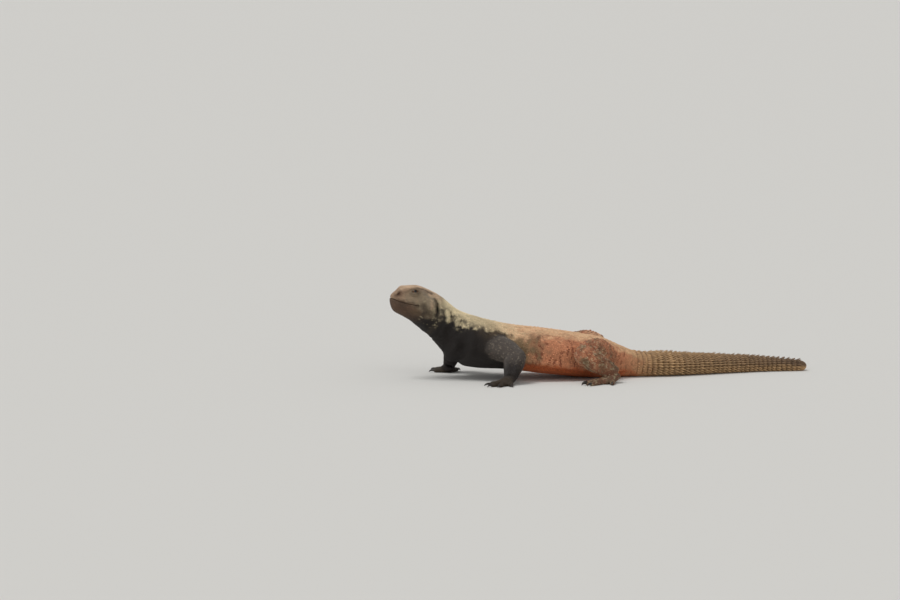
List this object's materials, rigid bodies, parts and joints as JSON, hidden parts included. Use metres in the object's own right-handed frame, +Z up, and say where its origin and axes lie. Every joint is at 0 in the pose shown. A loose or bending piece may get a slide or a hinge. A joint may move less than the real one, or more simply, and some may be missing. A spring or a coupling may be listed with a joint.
{
  "type": "mesopotamian spiny-tailed lizard, life-size museum-style model",
  "caption": "Life-size spiny-tailed lizard propped on its forelegs with the head raised, the hind feet flat and the whorled spiny tail laid on the floor.",
  "frame": {"origin": "on the floor, under the middle of the whole animal's box", "axes": "+Z up, -Y towards the head, +X towards the animal's left side"},
  "size_m": [0.1916, 0.4402, 0.097],
  "materials": {
    "head_skin": "dry matte scales, tan to grey-brown",
    "neck_skin": "matte scales, cream-yellow over a dark throat",
    "body_skin": "matte scales, cream to salmon with rusty wrinkles",
    "tail_skin": "dry keeled spines in whorls, straw to brown",
    "foreleg_skin": "slate-black matte scales",
    "hindleg_skin": "matte scales, olive to orange-brown",
    "eye": "wet dark brown",
    "claw": "dark horn, slightly glossy"
  },
  "bodies": {
    "root": {"head": "head_skin", "eye_left": "eye", "eye_right": "eye", "neck": "neck_skin", "torso": "body_skin", "tail_root": "tail_skin", "tail_middle": "tail_skin", "tail_rear": "tail_skin", "tail_tip": "tail_skin", "upper_arm_left": "foreleg_skin", "forearm_left": "foreleg_skin", "hand_left": "foreleg_skin", "upper_arm_right": "foreleg_skin", "forearm_right": "foreleg_skin", "hand_right": "foreleg_skin", "thigh_left": "hindleg_skin", "shank_left": "hindleg_skin", "foot_left": "hindleg_skin", "thigh_right": "hindleg_skin", "shank_right": "hindleg_skin", "foot_right": "hindleg_skin"}
  },
  "joints": []
}
